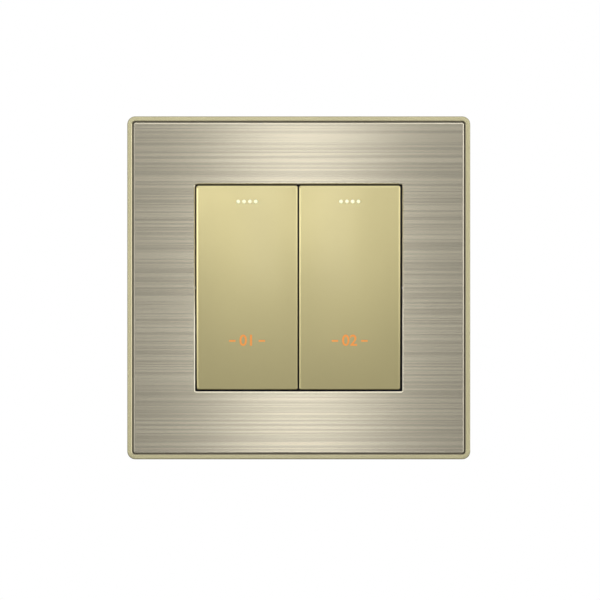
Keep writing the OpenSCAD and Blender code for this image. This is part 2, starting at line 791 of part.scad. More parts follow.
module module_base() {
  nose_front = yoke_back + fit;
  window_back = tongue_end - tongue_nose_h - fit;
  color("#e8e6df") {
    difference() {
      union() {
        difference() {
          slab(yoke_front, base_back) rounded_rect(module_w, module_h, 0.8);
          box([-base_in_w / 2, yoke_front - 1, -base_in_h / 2], [base_in_w / 2, floor_y, base_in_h / 2]);
        }
        pillar_pocket(0, 1);
        pillar_pocket(-pillar_x, -1);
        pillar_pocket(pillar_x, -1);
      }
      terminal_cuts(0, 1);
      terminal_cuts(-pillar_x, -1);
      terminal_cuts(pillar_x, -1);
      for (side = SIDES) mirror([side < 0 ? 1 : 0, 0, 0])
        box([base_in_w / 2 - 1, window_back, -tongue_w / 2 - fit],
          [module_w, tongue_end + free, tongue_w / 2 + fit]);
    }
    bus_seat(-bus_w / 2, bus_w / 2, contact_reach - bus_w / 2, pillar_in - pocket_wall + eps);
    bus_seat(-bus_w / 2, bus_w / 2, -contact_reach - bus_w / 2, -contact_reach + bus_w / 2);
    bus_seat(-bus_w / 2, bus_w / 2, -bus_w / 2, bus_w / 2);
    for (end = [-1, 1]) mirror([0, 0, end < 0 ? 1 : 0]) snap_nose(nose_front);
  }
}

// The nose that holds a module behind the yoke
module snap_nose(front) {
  nose_w = 6;
  nose_d = 3;
  nose_h = 0.9;
  translate([-nose_w / 2, 0, 0]) rotate([90, 0, 90]) linear_extrude(nose_w)
    polygon([[front, module_h / 2 - eps], [front, module_h / 2 + nose_h],
      [front + nose_d, module_h / 2 - eps]]);
}

front_frame();
face_plate();
plate_adhesive();
mounting_yoke();
mounting_screws();

for (i = [0, 1]) translate([SIDES[i] * gang_x, 0, 0]) {
  side = SIDE_NAMES[i];
  rocker_button();
  dot_insert();
  cradle();
  plunger_spring();
  plunger();
  seesaw();
  moving_contacts();
  fixed_contacts();
  common_terminal();
  upper_terminal();
  lower_terminal();
  terminal_screws();
  module_cover();
  module_base();
}
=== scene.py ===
import math

import bmesh
import bpy
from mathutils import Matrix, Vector


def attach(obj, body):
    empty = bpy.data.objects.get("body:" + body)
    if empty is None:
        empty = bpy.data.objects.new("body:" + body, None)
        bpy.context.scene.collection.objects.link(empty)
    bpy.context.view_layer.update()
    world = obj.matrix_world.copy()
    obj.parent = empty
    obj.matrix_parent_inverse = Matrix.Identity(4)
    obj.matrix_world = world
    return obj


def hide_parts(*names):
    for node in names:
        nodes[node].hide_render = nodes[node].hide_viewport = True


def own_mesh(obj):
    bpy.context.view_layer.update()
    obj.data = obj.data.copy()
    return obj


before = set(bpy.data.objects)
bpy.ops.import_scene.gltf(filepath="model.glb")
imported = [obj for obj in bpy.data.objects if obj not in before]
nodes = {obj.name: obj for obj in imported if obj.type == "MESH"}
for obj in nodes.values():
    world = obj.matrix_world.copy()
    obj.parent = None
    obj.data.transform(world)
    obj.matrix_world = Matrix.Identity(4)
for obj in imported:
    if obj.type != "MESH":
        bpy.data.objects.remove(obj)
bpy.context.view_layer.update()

# Sizes in millimetres. The main ones are those of the part's source; fine bevels, the play and the
# print are the visual model's own.
MM = 0.001
SIDES = (("left", -1), ("right", 1))
GANG_X = 12.85

# Front plate
PLATE_HALF = 43.0
PLATE_R = 2.0
RIM_Y = -10.0
RIM_W = 1.2
RIM_ROUND = 0.3
RIM_BEVEL = 0.16
RIM_BEVEL_D = 0.118
FACE_Y = -9.9
FACE_BACK = -9.1
FACE_HALF = 41.36
FACE_R = 0.4
FACE_BEVEL = 0.2
FACE_BEVEL_D = 0.106
WINDOW_HALF = 26.0
WINDOW_BEVEL = 0.24
WINDOW_BEVEL_D = 0.066
DECK_Y = -8.9
DECK_BACK = -7.3
DECK_WINDOW_HALF = 26.2
DECK_WINDOW_R = 0.6
COLLAR_BACK = -5.8
COLLAR_T = 1.4
WALL_T = 1.6
NOTCH_W = 10.0
NOTCH_D = 1.2
CLIP_X = 33.0
CLIP_Z = 26.0
CLIP_W = 6.0
CLIP_HALF_T = 0.6
CLIP_HOOK = 1.1
CLIP_NOSE_Y = -1.5
CLIP_LIP = 0.3
CLIP_END_Y = -0.3
RIB_PLACES = (-18, -8, 8, 18)
RIB_HALF_T = 0.4
# How far clips and ribs run into what carries them
ROOT = 0.2

# Rockers
ROCKER_HALF_W = 12.65
ROCKER_HALF_H = 25.55
ROCKER_R = 0.45
ROCKER_BEVEL = 0.42
ROCKER_BEVEL_D = 0.11
TOP_BEVEL_D = 0.16
LOW_BEVEL = 0.14
LOW_BEVEL_D = 0.035
ROCKER_SKIN = 1.5
CROWN_Y = -11.3
CROWN_R = 600.0
# The rocker's face also falls away a little towards its sides
SIDE_CROWN_R = 350.0
SKIRT_Y = -6.9
PIVOT_Y = -7.0
THROW = math.radians(3)
# The play in the pivots lets the rockers sit this much to one side, and higher
PLAY_X = -0.1
PLAY_Z = 0.2
CRADLE_RIB_Y = (-10.6, -7.0)
CRADLE_RIB_Z = (9.1, 10.6)
CRADLE_RIB_HALF_W = 6.7
DOT_Z = ROCKER_HALF_H - 3.95
DOT_R = 0.5
DOT_PITCH = 1.45
DOT_XS = [(i - 1.5) * DOT_PITCH for i in range(4)]
DOT_FIT = 0.01
DOT_SINK = 0.03

# Print
INK_FILM = 0.012
MARK_Z = -13.3
MARK_SIZE = 3.9
MARK_WEIGHT = 0.06
RULE_X = (2.9, 4.5)
RULE_HALF_T = 0.22
BORE_FILM = 0.02
BORE_X = 4.6
BORE_NUMBER_Z = 11.2
BORE_NUMBER_SIZE = 3.2
BORE_NUMBER_WEIGHT = 0.05

# Springs and screws
SPRING_Y = (-7.54, -0.96)
SPRING_R = 1.55
WIRE_R = 0.25
BOX_SCREW_X = 30.15
HEAD_Y = -5.2
HEAD_R = 3.8
YOKE_Y = -3.0
SCREW_END = 22.0
THREAD_R = 2.0
THREAD_ROOT_R = 1.62
THREAD_PITCH = 0.7
# Above 1 the thread's crest is flat
THREAD_FLAT = 1.25
RECESS_LONG = 1.9
RECESS_WIDE = 0.42
RECESS_D = 1.4


# Shapes

def placed(name, data):
    """A new object in the scene."""
    made = bpy.data.objects.new(name, data)
    bpy.context.scene.collection.objects.link(made)
    return made


def mesh_in_metres(name, bm):
    """A mesh in metres from a bmesh in millimetres, its faces turned outwards."""
    bmesh.ops.scale(bm, vec=(MM, MM, MM), verts=bm.verts)
    bmesh.ops.recalc_face_normals(bm, faces=bm.faces)
    mesh = bpy.data.meshes.new(name)
    bm.to_mesh(mesh)
    bm.free()
    return mesh


def worked_out(source):
    """The mesh that an object's modifiers or its text give."""
    bpy.context.view_layer.update()
    ready = source.evaluated_get(bpy.context.evaluated_depsgraph_get())
    return bpy.data.meshes.new_from_object(ready)


def new_piece(name, bm, material, body, slot, *replaced):
    """A piece from a bmesh in millimetres, riding on its body."""
    piece = placed(name, mesh_in_metres(name, bm))
    piece.data.materials.append(material)
    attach(piece, body)
    if replaced:
        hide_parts(*replaced)
    return piece


def smooth_shading(piece, degrees):
    """Smooth faces, with edges sharper than the angle kept crisp and broad faces kept flat."""
    mesh = piece.data
    limit = math.radians(degrees)
    bm = bmesh.new()
    bm.from_mesh(mesh)
    for face in bm.faces:
        face.smooth = True
    for edge in bm.edges:
        edge.smooth = len(edge.link_faces) == 2 and edge.calc_face_angle(0) < limit
    bm.to_mesh(mesh)
    bm.free()
    weighted = piece.modifiers.new("flat_faces", "WEIGHTED_NORMAL")
    weighted.keep_sharp = True


def rounded_square(half, r, arc):
    """A rounded square in the wall's plane: (x, z) pairs, anticlockwise from the lower right."""
    points = []
    for sx, sz, start in ((1, -1, -90), (1, 1, 0), (-1, 1, 90), (-1, -1, 180)):
        cx, cz = sx * (half - r), sz * (half - r)
        for i in range(arc + 1):
            a = math.radians(start + 90 * i / arc)
            points.append((cx + r * math.cos(a), cz + r * math.sin(a)))
    return points


def filleted(corners, steps):
    """Rounds a closed profile. Each corner is (half, y, centre, radius), where centre is the
    offset of the plan's corner arc."""
    out = []
    count = len(corners)
    for i, (h, y, c, r) in enumerate(corners):
        ph, py, pc, _ = corners[i - 1]
        nh, ny, nc, _ = corners[(i + 1) % count]
        here, before, after = Vector((h, y)), Vector((ph, py)), Vector((nh, ny))
        if r <= 0:
            out.append((h, y, c))
            continue
        u, v = (before - here).normalized(), (after - here).normalized()
        opening = u.angle(v)
        cut = r / math.tan(opening / 2)
        middle = here + (u + v).normalized() * (r / math.sin(opening / 2))
        start, end = here + u * cut - middle, here + v * cut - middle
        turn = start.angle_signed(end)
        share_in = cut / max((before - here).length, 1e-6)
        share_out = cut / max((after - here).length, 1e-6)
        for k in range(steps + 1):
            t = k / steps
            a = -turn * t
            spun = Vector((start.x * math.cos(a) - start.y * math.sin(a),
                           start.x * math.sin(a) + start.y * math.cos(a)))
            point = middle + spun
            from_before = (pc - c) * share_in * max(0, 1 - 2 * t)
            to_after = (nc - c) * share_out * max(0, 2 * t - 1)
            out.append((point.x, point.y, c + from_before + to_after))
    return out


def loft_round(bm, profile):
    """A closed band: the profile carried round the plate's rounded square."""
    arc, least_r = 10, 0.02
    rings = []
    for half, y, centre in profile:
        r = max(half - centre, least_r)
        rings.append([bm.verts.new((x, y, z)) for x, z in rounded_square(half, r, arc)])
    for i, ring in enumerate(rings):
        following = rings[(i + 1) % len(rings)]
        for k in range(len(ring)):
            j = (k + 1) % len(ring)
            bm.faces.new((ring[k], ring[j], following[j], following[k]))


def round_edges(bm, edges, width, segments=2, clamp=False):
    bmesh.ops.bevel(bm, geom=edges, offset=width, segments=segments, affect="EDGES", profile=0.5,
                    clamp_overlap=clamp)


def add_box(bm, low, high, bevel=0.0, segments=2):
    """A box from two corners, with rounded edges."""
    made = bmesh.ops.create_cube(bm, size=1)["verts"]
    low, high = Vector(low), Vector(high)
    bmesh.ops.scale(bm, vec=high - low, verts=made)
    bmesh.ops.translate(bm, vec=(low + high) / 2, verts=made)
    if bevel:
        round_edges(bm, list({e for v in made for e in v.link_edges}), bevel, segments)


def add_prism(bm, points, z0, z1, bevel):
    """A flat outline in X and Y, carried from z0 to z1, with rounded edges."""
    lower = [bm.verts.new((x, y, z0)) for x, y in points]
    upper = [bm.verts.new((x, y, z1)) for x, y in points]
    made = [bm.faces.new(lower), bm.faces.new(list(reversed(upper)))]
    for i in range(len(points)):
        j = (i + 1) % len(points)
        made.append(bm.faces.new((lower[i], lower[j], upper[j], upper[i])))
    round_edges(bm, list({e for f in made for e in f.edges}), bevel)


def add_turned(bm, profile, x, z, sides=32):
    """A turned shape about an axis along Y. The profile is (radius, depth) pairs from one flat end
    to the other, and a radius may be a function of the angle."""
    rings = []
    for radius, y in profile:
        ring = []
        for k in range(sides):
            a = 2 * math.pi * k / sides
            r = radius(a) if callable(radius) else radius
            ring.append(bm.verts.new((x + r * math.cos(a), y, z + r * math.sin(a))))
        rings.append(ring)
    bm.faces.new(rings[0])
    bm.faces.new(list(reversed(rings[-1])))
    for first, second in zip(rings, rings[1:]):
        for k in range(sides):
            j = (k + 1) % sides
            bm.faces.new((first[k], second[k], second[j], first[j]))


def reshape(piece, tool, operation):
    """Cuts a tool's shape, in millimetres, out of a piece, or joins it on."""
    shaper = placed("tool", mesh_in_metres("tool", tool))
    made = piece.modifiers.new("shape", "BOOLEAN")
    made.operation = operation
    made.solver = "EXACT"
    made.object = shaper
    piece.data = worked_out(piece)
    piece.modifiers.clear()
    bpy.data.objects.remove(shaper)


def eased(node, name, body, slot, material, width, least):
    """A copy of a node with its sharp edges broken, which stands for it. Edges shorter than least
    keep their corner."""
    merge, flat, sharp = 0.0001, math.radians(0.5), math.radians(30)
    bm = bmesh.new()
    bm.from_mesh(nodes[node].data)
    bmesh.ops.scale(bm, vec=(1 / MM, 1 / MM, 1 / MM), verts=bm.verts)
    bmesh.ops.remove_doubles(bm, verts=bm.verts, dist=merge)
    bmesh.ops.dissolve_limit(bm, angle_limit=flat, verts=bm.verts, edges=bm.edges)
    edges = [e for e in bm.edges if e.calc_face_angle(0) > sharp and e.calc_length() > least]
    round_edges(bm, edges, width, clamp=True)
    smooth_shading(new_piece(name, bm, material, body, slot, node), 35)


def fall(z):
    """How far the crown falls back at a height."""
    return CROWN_R - math.sqrt(CROWN_R ** 2 - z ** 2)


def crown(x, z):
    """Depth of a level rocker's face."""
    return CROWN_Y + fall(z) + x * x / (2 * SIDE_CROWN_R)


def rocked(x, y, z):
    """A point of a level rocker, turned about the pivot to the rest pose."""
    dy = y - PIVOT_Y
    c, s = math.cos(THROW), math.sin(THROW)
    return x, PIVOT_Y + dy * c - z * s, dy * s + z * c


def to_rest(bm, sign, play=1.0):
    """Moves a shape from a level rocker's own middle to its gang, at the rest pose, with all or
    none of the pivots' play."""
    for vert in bm.verts:
        x, y, z = rocked(*vert.co)
        vert.co = (x + sign * GANG_X + play * PLAY_X, y, z + play * PLAY_Z)
    return bm


# Surface effects that several finishes share

def link_value(tree, socket, value):
    """Feeds a socket from another one, or sets it."""
    if isinstance(value, bpy.types.NodeSocket):
        tree.links.new(value, socket)
    else:
        socket.default_value = value


def add_node(tree, kind, inputs=None, **settings):
    made = tree.nodes.new(kind)
    for key, value in settings.items():
        setattr(made, key, value)
    for key, value in (inputs or {}).items():
        link_value(tree, made.inputs[key], value)
    return made


def math_node(tree, operation, *values):
    made = tree.nodes.new("ShaderNodeMath")
    made.operation = operation
    for i, value in enumerate(values):
        link_value(tree, made.inputs[i], value)
    return made.outputs[0]


def spread(tree, value, low, high, to_low, to_high):
    """A value carried from one range to another, and held inside it."""
    made = add_node(tree, "ShaderNodeMapRange", {
        "Value": value, "From Min": low, "From Max": high, "To Min": to_low, "To Max": to_high})
    return made.outputs["Result"]


def mixed(tree, share, first, second):
    made = tree.nodes.new("ShaderNodeMix")
    made.data_type = "RGBA"
    link_value(tree, made.inputs["Factor"], share)
    link_value(tree, made.inputs["A"], first)
    link_value(tree, made.inputs["B"], second)
    return made.outputs["Result"]


def effect(name, inputs, outputs):
    """An empty shader group with named sockets."""
    tree = bpy.data.node_groups.new(name, "ShaderNodeTree")
    for title, kind, default in inputs:
        socket = tree.interface.new_socket(title, in_out="INPUT", socket_type="NodeSocket" + kind)
        socket.default_value = default
    for title, kind in outputs:
        tree.interface.new_socket(title, in_out="OUTPUT", socket_type="NodeSocket" + kind)
    return tree, tree.nodes.new("NodeGroupInput").outputs, tree.nodes.new("NodeGroupOutput").inputs


def place(tree, group, **values):
    """Puts a shared effect into a material, with its own values."""
    made = tree.nodes.new("ShaderNodeGroup")
    made.node_tree = group
    for key, value in values.items():
        link_value(tree, made.inputs[key.replace("_", " ")], value)
    return made.outputs


def object_place(tree, stretch=None):
    """The place on the object, stretched along its axes where that is wanted."""
    coords = tree.nodes.new("ShaderNodeTexCoord").outputs["Object"]
    if stretch is None:
        return coords
    mapping = add_node(tree, "ShaderNodeMapping", {"Vector": coords, "Scale": stretch})
    return mapping.outputs["Vector"]


def noise(tree, coords, scale, detail, **settings):
    made = add_node(tree, "ShaderNodeTexNoise", {
        "Vector": coords, "Scale": scale, "Detail": detail})
    for key, value in settings.items():
        made.inputs[key].default_value = value
    return made.outputs["Fac"]


def make_moulded_grain():
    """The fine texture of a moulding, and its slow drift in tone."""
    tree, given, out = effect("Moulded Grain", [("Scale", "Float", 9000.0)],
                              [("Grain", "Float"), ("Drift", "Float")])
    coords = object_place(tree)
    slow = noise(tree, coords, 90.0, 2.0)
    link_value(tree, out["Grain"], noise(tree, coords, given["Scale"], 3.0, Roughness=0.6))
    link_value(tree, out["Drift"], spread(tree, slow, 0.3, 0.7, 0.0, 1.0))
    return tree


def make_brushed_lines():
    """Straight fine scratches along one axis that fade in and out along their length, over broad
    bands."""
    tree, given, out = effect("Brushed Lines", [("Stretch", "Vector", (1.0, 1.0, 1.0))],
                              [("Lines", "Float"), ("Bands", "Float")])
    coords = object_place(tree)
    split = add_node(tree, "ShaderNodeSeparateXYZ", {0: given["Stretch"]}).outputs
    join = tree.nodes.new("ShaderNodeCombineXYZ")
    for axis in range(3):
        link_value(tree, join.inputs[axis], math_node(tree, "POWER", split[axis], 0.55))

    def layer(stretch, scale, detail):
        spaced = add_node(tree, "ShaderNodeVectorMath", {0: coords, 1: stretch},
                          operation="MULTIPLY")
        return noise(tree, spaced.outputs[0], scale, detail, Roughness=0.6)

    streaks = 0.0
    for scale, share in ((2900.0, 0.6), (1600.0, 0.4)):
        fine = layer(given["Stretch"], scale, 0.0)
        streaks = math_node(tree, "MULTIPLY_ADD", fine, share, streaks)
    strength = spread(tree, layer(join.outputs[0], 900.0, 1.0), 0.3, 0.7, 0.4, 1.7)
    centred = math_node(tree, "SUBTRACT", streaks, 0.5)
    lines = math_node(tree, "MULTIPLY", centred, strength)
    link_value(tree, out["Lines"], spread(tree, lines, -0.08, 0.08, 0.0, 1.0))
    bands = layer(given["Stretch"], 420.0, 2.0)
    link_value(tree, out["Bands"], spread(tree, bands, 0.3, 0.7, 0.0, 1.0))
    return tree


def make_edge_wear():
    """Where edges are rubbed: 1 on a convex or concave edge, broken up by noise."""
    tree, given, out = effect("Edge Wear", [("Width", "Float", 0.0002), ("Break", "Float", 0.4)],
                              [("Mask", "Float")])
    rounded = add_node(tree, "ShaderNodeBevel", {"Radius": given["Width"]}, samples=4)
    flat = tree.nodes.new("ShaderNodeNewGeometry").outputs["Normal"]
    same = add_node(tree, "ShaderNodeVectorMath", {0: rounded.outputs["Normal"], 1: flat},
                    operation="DOT_PRODUCT")
    edge = spread(tree, same.outputs["Value"], 0.99, 0.85, 0.0, 1.0)
    patches = noise(tree, object_place(tree), 700.0, 4.0)
    broken = math_node(tree, "SUBTRACT", patches, given["Break"])
    worn = math_node(tree, "MULTIPLY", edge, spread(tree, broken, -0.05, 0.15, 0.0, 1.0))
    link_value(tree, out["Mask"], worn)
    return tree


def make_handling():
    """Faint smears that change the gloss."""
    tree, given, out = effect("Handling", [("Scale", "Float", 60.0)], [("Smear", "Float")])
    coords = object_place(tree, (1.0, 1.0, 0.6))
    smears = noise(tree, coords, given["Scale"], 5.0, Distortion=0.6)
    link_value(tree, out["Smear"], spread(tree, smears, 0.35, 0.65, 0.0, 1.0))
    return tree


GRAIN = make_moulded_grain()
LINES = make_brushed_lines()
WEAR = make_edge_wear()
HANDLING = make_handling()


# Finishes

def srgb(r, g, b):
    def linear(v):
        v /= 255
        return v / 12.92 if v <= 0.04045 else ((v + 0.055) / 1.055) ** 2.4
    return linear(r), linear(g), linear(b), 1.0


def finish(name, **constants):
    """A new material with one Principled shader; constants go on the shader's own sockets."""
    material = bpy.data.materials.new(name)
    material.use_nodes = True
    tree = material.node_tree
    shader = tree.nodes["Principled BSDF"]
    for key, value in constants.items():
        shader.inputs[key.replace("_", " ")].default_value = value
    return material, tree, shader.inputs


def bump(tree, sockets, height, distance, strength):
    made = add_node(tree, "ShaderNodeBump", {
        "Height": height, "Strength": strength, "Distance": distance})
    tree.links.new(made.outputs["Normal"], sockets["Normal"])


def shade(color, share):
    return tuple(min(1.0, c * share) for c in color[:3]) + (1.0,)


def moulded(name, color, roughness, grain=6000.0, wear=0.35, depth=0.00002):
    """Moulded plastic with fine grain and slightly polished edges."""
    material, tree, sockets = finish(name, Specular_IOR_Level=0.5)
    texture = place(tree, GRAIN, Scale=grain)
    edge = place(tree, WEAR, Width=0.00025)["Mask"]
    toned = mixed(tree, texture["Drift"], shade(color, 0.93), shade(color, 1.05))
    worn = mixed(tree, math_node(tree, "MULTIPLY", edge, wear), toned, shade(color, 1.35))
    link_value(tree, sockets["Base Color"], worn)
    rough = spread(tree, texture["Grain"], 0.25, 0.75, roughness - 0.06, roughness + 0.06)
    link_value(tree, sockets["Roughness"], rough)
    bump(tree, sockets, texture["Grain"], depth, 0.5)
    return material


def metal(name, color, roughness, stretch, streak=0.15, wear=0.5, depth=0.000004):
    """Drawn, turned or pressed metal with fine lines and bright edges."""
    material, tree, sockets = finish(name, Metallic=1.0)
    lines = place(tree, LINES, Stretch=stretch)
    edge = place(tree, WEAR, Width=0.00015)["Mask"]
    toned = mixed(tree, lines["Lines"], shade(color, 1 - streak), shade(color, 1 + streak))
    worn = mixed(tree, math_node(tree, "MULTIPLY", edge, wear), toned, shade(color, 1.4))
    link_value(tree, sockets["Base Color"], worn)
    smear = place(tree, HANDLING, Scale=110.0)["Smear"]
    level = math_node(tree, "MULTIPLY_ADD", lines["Bands"], 0.08, roughness - 0.06)
    link_value(tree, sockets["Roughness"], math_node(tree, "MULTIPLY_ADD", smear, 0.06, level))
    bump(tree, sockets, lines["Lines"], depth, 0.6)
    return material


def make_brushed_face():
    """Champagne anodised metal, brushed from side to side."""
    material, tree, sockets = finish("brushed_champagne", Metallic=1.0, Anisotropic=0.87)
    lines = place(tree, LINES, Stretch=(0.003, 1.0, 1.0))
    color = srgb(134, 129, 115)
    banded = mixed(tree, lines["Bands"], shade(color, 0.97), shade(color, 1.03))
    streaked = mixed(tree, lines["Lines"], shade(color, 0.72), shade(color, 1.26))
    toned = mixed(tree, 0.37, banded, streaked)
    edge = place(tree, WEAR, Width=0.0001, Break=0.3)["Mask"]
    rubbed = mixed(tree, math_node(tree, "MULTIPLY", edge, 0.25), toned, srgb(226, 219, 200))
    link_value(tree, sockets["Base Color"], rubbed)
    link_value(tree, sockets["Roughness"], spread(tree, lines["Bands"], 0.0, 1.0, 0.24, 0.26))
    tangent = add_node(tree, "ShaderNodeTangent", direction_type="UV_MAP", uv_map="brush")
    tree.links.new(tangent.outputs["Tangent"], sockets["Tangent"])
    bump(tree, sockets, lines["Lines"], 0.000002, 0.4)
    return material


def make_bright_cut():
    """The face's bevels, cut through the brushing and left bright, with faint cutter marks."""
    material, tree, sockets = finish("bright_cut", Metallic=1.0)
    marks = place(tree, GRAIN, Scale=4000.0)
    smear = place(tree, HANDLING, Scale=80.0)["Smear"]
    toned = mixed(tree, marks["Drift"], srgb(170, 164, 147), srgb(181, 175, 158))
    link_value(tree, sockets["Base Color"], toned)
    link_value(tree, sockets["Roughness"], spread(tree, smear, 0.0, 1.0, 0.22, 0.28))
    bump(tree, sockets, marks["Grain"], 0.000001, 0.4)
    return material


def lacquered(name, color, roughness, coat, smear_depth):
    """Metallic champagne lacquer over a moulding: fine flake, a clear coat and faint smears."""
    material, tree, sockets = finish(name, Metallic=1.0, Coat_Weight=coat, Coat_Roughness=0.12,
                                     Coat_IOR=1.5)
    flake = place(tree, GRAIN, Scale=16000.0)
    smear = place(tree, HANDLING, Scale=45.0)["Smear"]
    edge = place(tree, WEAR, Width=0.00012, Break=0.35)["Mask"]
    toned = mixed(tree, flake["Grain"], shade(color, 0.95), shade(color, 1.05))
    worn = mixed(tree, math_node(tree, "MULTIPLY", edge, 0.12), toned, shade(color, 1.5))
    link_value(tree, sockets["Base Color"], worn)
    level = math_node(tree, "MULTIPLY_ADD", smear, smear_depth, roughness)
    rough = math_node(tree, "MULTIPLY_ADD", flake["Grain"], 0.04, level)
    link_value(tree, sockets["Roughness"], rough)
    bump(tree, sockets, flake["Grain"], 0.000001, 0.5)
    return material


def make_dot_milk_glow():
    """Milky light guide, faintly clouded, with a faint painted glow from its emission."""
    material, tree, sockets = finish(
        "dot_milk_glow", Subsurface_Weight=0.3, Subsurface_Scale=0.0006, Roughness=0.3,
        Emission_Color=srgb(255, 246, 205), Emission_Strength=0.15)
    cloud = place(tree, GRAIN, Scale=2500.0)
    milk = mixed(tree, cloud["Grain"], srgb(228, 222, 188), srgb(236, 231, 202))
    link_value(tree, sockets["Base Color"], milk)
    bump(tree, sockets, cloud["Grain"], 0.000003, 0.3)
    return material


def make_print_orange():
    """Pad-printed ink, slightly uneven."""
    material, tree, sockets = finish("print_orange", Roughness=0.6, Specular_IOR_Level=0.2)
    ink = place(tree, GRAIN, Scale=5000.0)
    uneven = mixed(tree, ink["Grain"], srgb(202, 124, 54), srgb(218, 141, 67))
    link_value(tree, sockets["Base Color"], uneven)
    bump(tree, sockets, ink["Grain"], 0.000004, 0.4)
    return material


def make_zinc_painted_shade():
    """Rolled zinc sheet, black as painted shade in the rocker gaps, faintly clouded, edges rubbed
    bright.
    """
    material, tree, sockets = finish("black_zinc", Metallic=0.7)
    lines = place(tree, LINES, Stretch=(0.05, 1.0, 1.0))
    cloud = place(tree, HANDLING, Scale=90.0)["Smear"]
    edge = place(tree, WEAR, Width=0.00015)["Mask"]
    sheet = mixed(tree, cloud, srgb(30, 30, 33), srgb(42, 40, 38))
    rolled = mixed(tree, math_node(tree, "MULTIPLY", lines["Lines"], 0.3), sheet, srgb(26, 26, 28))
    rubbed = mixed(tree, math_node(tree, "MULTIPLY", edge, 0.35), rolled, srgb(128, 128, 130))
    link_value(tree, sockets["Base Color"], rubbed)
    link_value(tree, sockets["Roughness"], spread(tree, cloud, 0.0, 1.0, 0.36, 0.5))
    bump(tree, sockets, lines["Lines"], 0.000003, 0.4)
    return material


brushed_face = make_brushed_face()
bright_cut = make_bright_cut()
rim_gold = lacquered("rim_gold", srgb(147, 142, 113), 0.42, 0.1, 0.05)
# The rim's lacquer made glossier, and painted lighter on the chamfer as a highlight.
rim_chamfer_painted_highlight = lacquered("rim_chamfer_painted_highlight", srgb(176, 168, 138), 0.2, 0.1, 0.04)
# Unlacquered moulding, painted darker than the lacquer as shade in the pocket and behind.
bare_champagne_painted_shade = moulded("bare_champagne_painted_shade", srgb(108, 101, 82), 0.65, wear=0.1)
rocker_gold = lacquered("rocker_gold", srgb(147, 139, 102), 0.275, 0.08, 0.05)
# Its emission is a painted glow: no lamp lights the dots.
dot_milk_glow = make_dot_milk_glow()
print_orange = make_print_orange()
print_grey = moulded("print_grey", srgb(74, 74, 76), 0.6, wear=0.0)
# The yoke's black is painted shade for the gaps round the rockers.
black_zinc = make_zinc_painted_shade()
foam = moulded("adhesive_foam", srgb(38, 36, 33), 0.8, grain=3000.0, wear=0.1, depth=0.00006)
# A charcoal moulding, made near black as painted shade for the gaps round the rockers.
charcoal = moulded("charcoal_moulding_shade", srgb(14, 12, 10), 0.8)
nylon = moulded("nylon_moulding", srgb(58, 58, 60), 0.42)
acetal = moulded("acetal_moulding", srgb(232, 227, 212), 0.35, wear=0.1)
ivory = moulded("ivory_moulding", srgb(226, 223, 214), 0.48, wear=0.12)
zinc_screw = metal("zinc_screw", srgb(200, 200, 194), 0.3, (1.0, 0.06, 1.0))
spring_steel = metal("spring_steel", srgb(186, 188, 190), 0.28, (0.2, 0.2, 0.2))
brass = metal("brass", srgb(205, 172, 98), 0.32, (1.0, 1.0, 0.05))
copper = metal("copper", srgb(203, 142, 98), 0.34, (1.0, 1.0, 0.05))
silver = metal("silver_contact", srgb(226, 225, 220), 0.26, (0.3, 1.0, 0.3), streak=0.08)


# The front plate

def make_frame():
    """The moulded frame: lacquered rim and sides, a glossier chamfer inside the rim painted lighter
    as a highlight, and unlacquered moulding in the pocket and behind painted darker as shade."""
    outer = PLATE_HALF - PLATE_R
    window = DECK_WINDOW_HALF - DECK_WINDOW_R
    inside = PLATE_HALF - WALL_T - PLATE_R / 2
    pocket = PLATE_HALF - RIM_W
    wall = PLATE_HALF - WALL_T
    collar = DECK_WINDOW_HALF + COLLAR_T
    corners = [
        (PLATE_HALF, 0.0, outer, 0.2),
        (PLATE_HALF, RIM_Y, outer, RIM_ROUND),
        (pocket + RIM_BEVEL, RIM_Y, outer, 0.0),
        (pocket, RIM_Y + RIM_BEVEL_D, outer, 0.0),
        (pocket, DECK_Y, outer, 0.0),
        (DECK_WINDOW_HALF, DECK_Y, window, 0.1),
        (DECK_WINDOW_HALF, COLLAR_BACK, window, 0.15),
        (collar, COLLAR_BACK, window, 0.15),
        (collar, DECK_BACK, window, 0.25),
        (wall, DECK_BACK, inside, 0.35),
        (wall, 0.0, inside, 0.15),
    ]
    bm = bmesh.new()
    loft_round(bm, filleted(corners, 6))
    piece = new_piece("plate_frame", bm, rim_gold, "front_plate", "gold_rim", "front_frame")
    reshape(piece, frame_clips_and_ribs(collar, wall), "UNION")
    notch = bmesh.new()
    past = 1
    add_box(notch, (-NOTCH_W / 2, -NOTCH_D, -PLATE_HALF - past), (NOTCH_W / 2, past, past - wall),
            0.3, 3)
    reshape(piece, notch, "DIFFERENCE")
    piece.data.materials.append(bare_champagne_painted_shade)
    piece.data.materials.append(rim_chamfer_painted_highlight)
    # Slot 1 is the moulding painted darker as shade, slot 2 the chamfer painted lighter as a
    # highlight.
    bare, cut = 1, 2
    for face in piece.data.polygons:
        x, y, z = face.center / MM
        reach = max(abs(x), abs(z))
        if y > RIM_Y + 2 * RIM_BEVEL_D and reach < PLATE_HALF - 0.1:
            face.material_index = bare
        elif y > RIM_Y + 0.01 and reach < pocket + RIM_BEVEL:
            face.material_index = cut
    smooth_shading(piece, 35)


